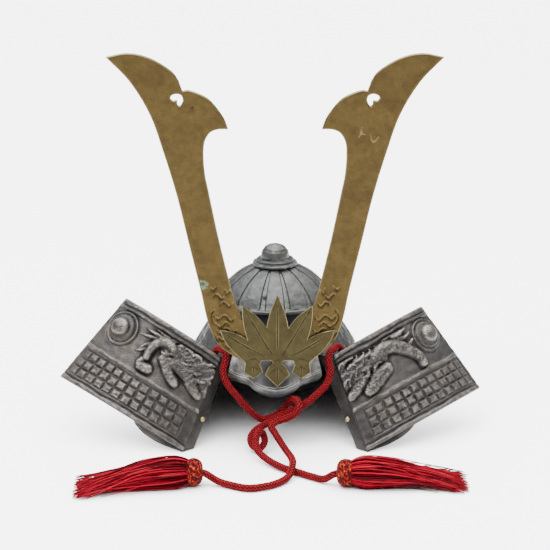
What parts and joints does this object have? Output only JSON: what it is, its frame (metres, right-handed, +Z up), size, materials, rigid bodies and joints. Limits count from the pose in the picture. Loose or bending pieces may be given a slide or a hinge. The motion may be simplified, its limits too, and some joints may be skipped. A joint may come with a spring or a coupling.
{
  "type": "kabuto samurai helmet ornament",
  "caption": "Cast metal kabuto ornament: ribbed bowl, flared neck guard, relief wings, brass horns and leaf crest, red chin cord with tassels",
  "frame": {"origin": "under the middle of the metal helmet, on the surface that it stands on", "axes": "+X to the viewer's right along the wings' span, -Y to the front, +Z up"},
  "size_m": [0.2662, 0.2448, 0.2449],
  "materials": {
    "bowl_metal": "worn grey-green patina",
    "cast_metal": "dark patina, polished on the high spots",
    "horn_brass": "aged satin",
    "crest_brass": "aged satin",
    "rivet_brass": "satin",
    "red_silk": "braided cord"
  },
  "bodies": {
    "root": {"bowl": "bowl_metal", "finial": "bowl_metal", "visor": "cast_metal", "neck_lame_1": "cast_metal", "neck_lame_2": "cast_metal", "neck_lame_3": "cast_metal", "neck_lame_4": "cast_metal", "wing_left": "cast_metal", "wing_right": "cast_metal", "rivet_left": "rivet_brass", "rivet_right": "rivet_brass", "horns": "horn_brass", "crest": "crest_brass", "horn_bracket": "cast_metal", "chin_cord": "red_silk", "tassel_left": "red_silk", "tassel_right": "red_silk"}
  },
  "joints": []
}
